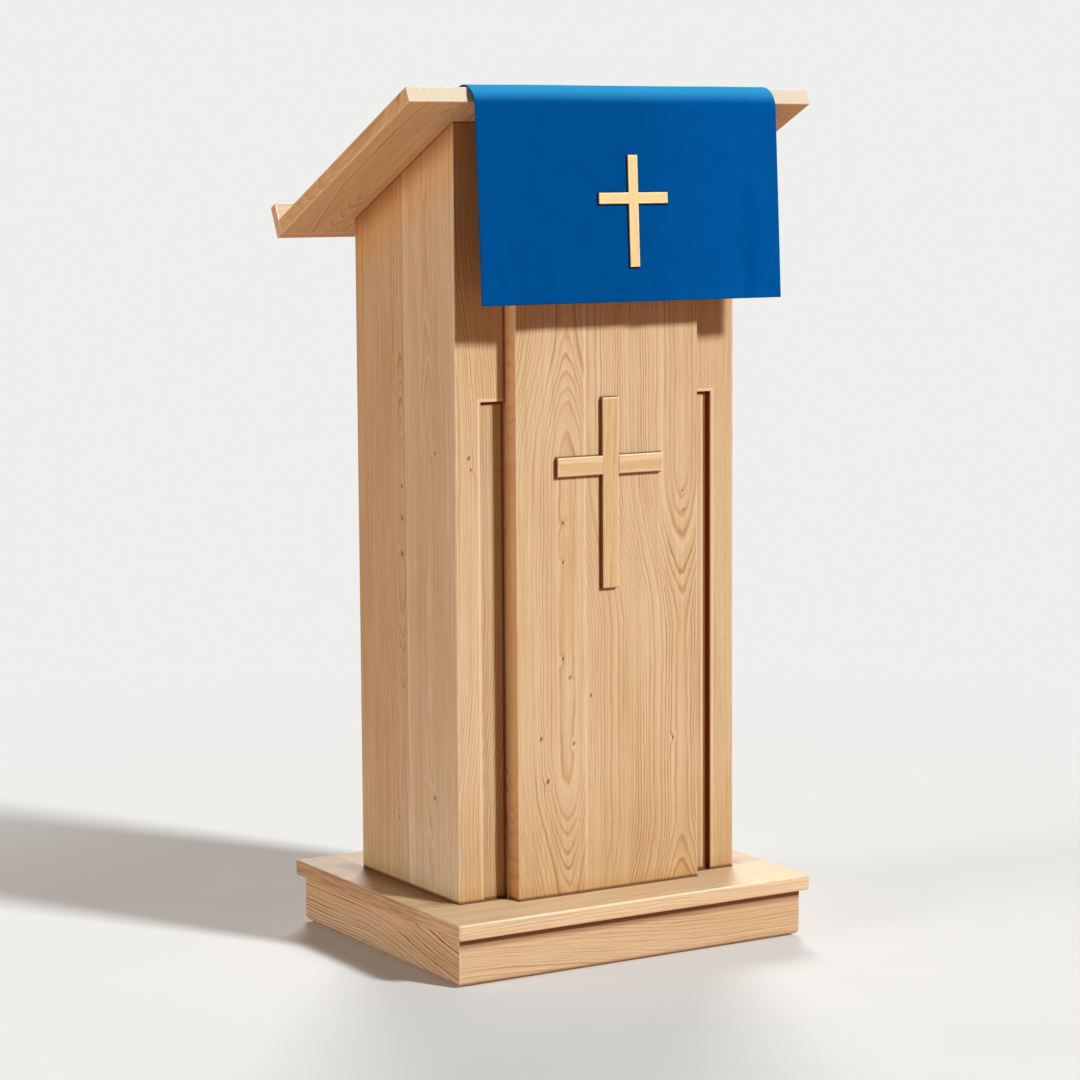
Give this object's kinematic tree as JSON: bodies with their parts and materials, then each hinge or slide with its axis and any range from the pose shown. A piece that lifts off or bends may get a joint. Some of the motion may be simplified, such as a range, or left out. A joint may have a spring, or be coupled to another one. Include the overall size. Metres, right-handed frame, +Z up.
{
  "type": "pulpit",
  "caption": "Upright wooden pulpit: open-backed body with raised front panel and cross, stepped base, sloping desk with ledge, and a blue cloth with a small cross over its front edge.",
  "frame": {"origin": "on the floor, at the centre of the bounding box's bottom face", "axes": "+Z up; -Y towards the congregation (cloth and crosses), +Y towards the speaker; +X to the congregation's right"},
  "size_m": [0.642, 0.486, 1.2037],
  "materials": {
    "body_wood": "satin clear-oiled pale ash",
    "desk_wood": "satin clear-oiled pale ash",
    "base_wood": "satin clear-oiled pale ash",
    "cross_wood": "satin light wood, eased edges",
    "inner_wood": "planed, unfinished",
    "dowel_wood": "turned beech",
    "zinc_steel": "zinc plated",
    "pad_felt": "pressed felt",
    "blue_cloth": "matt velvet"
  },
  "bodies": {
    "pulpit": {"base_slab": "base_wood", "book_ledge": "desk_wood", "cross_dowels": "dowel_wood", "desk_board": "desk_wood", "desk_cleat_screws": "zinc_steel", "desk_screws": "zinc_steel", "floor_cleat_screws": "zinc_steel", "floor_pads": "pad_felt", "front_backing_board": "body_wood", "front_top_rail": "body_wood", "ledge_dowels": "dowel_wood", "left_desk_cleat": "inner_wood", "left_floor_cleat": "inner_wood", "left_front_stile": "body_wood", "left_side_front_board": "body_wood", "left_side_rear_board": "body_wood", "panel_cross_arm": "cross_wood", "panel_cross_upright": "cross_wood", "panel_screws": "zinc_steel", "plinth_centre_bearer": "inner_wood", "plinth_corner_blocks": "inner_wood", "plinth_dowels": "dowel_wood", "plinth_front_board": "base_wood", "plinth_left_board": "base_wood", "plinth_rear_board": "base_wood", "plinth_right_board": "base_wood", "rail_dowels": "dowel_wood", "raised_panel_left_board": "body_wood", "raised_panel_right_board": "body_wood", "rear_kick_rail": "body_wood", "rear_top_rail": "body_wood", "right_desk_cleat": "inner_wood", "right_floor_cleat": "inner_wood", "right_front_stile": "body_wood", "right_side_front_board": "body_wood", "right_side_rear_board": "body_wood", "shelf_pins": "zinc_steel", "slab_screws": "zinc_steel"},
    "cloth": {"pulpit_cloth": "blue_cloth", "cloth_cross_upright": "cross_wood", "cloth_cross_arm": "cross_wood"},
    "shelf": {"shelf": "body_wood"}
  },
  "joints": [
    {"name": "cloth_lift", "type": "slide", "parent": "pulpit", "child": "cloth", "axis": [0, 0, 1], "range_m": [0, 0.35]},
    {"name": "shelf_slide", "type": "slide", "parent": "pulpit", "child": "shelf", "axis": [0, 1, 0], "range_m": [0, 0.27]}
  ]
}
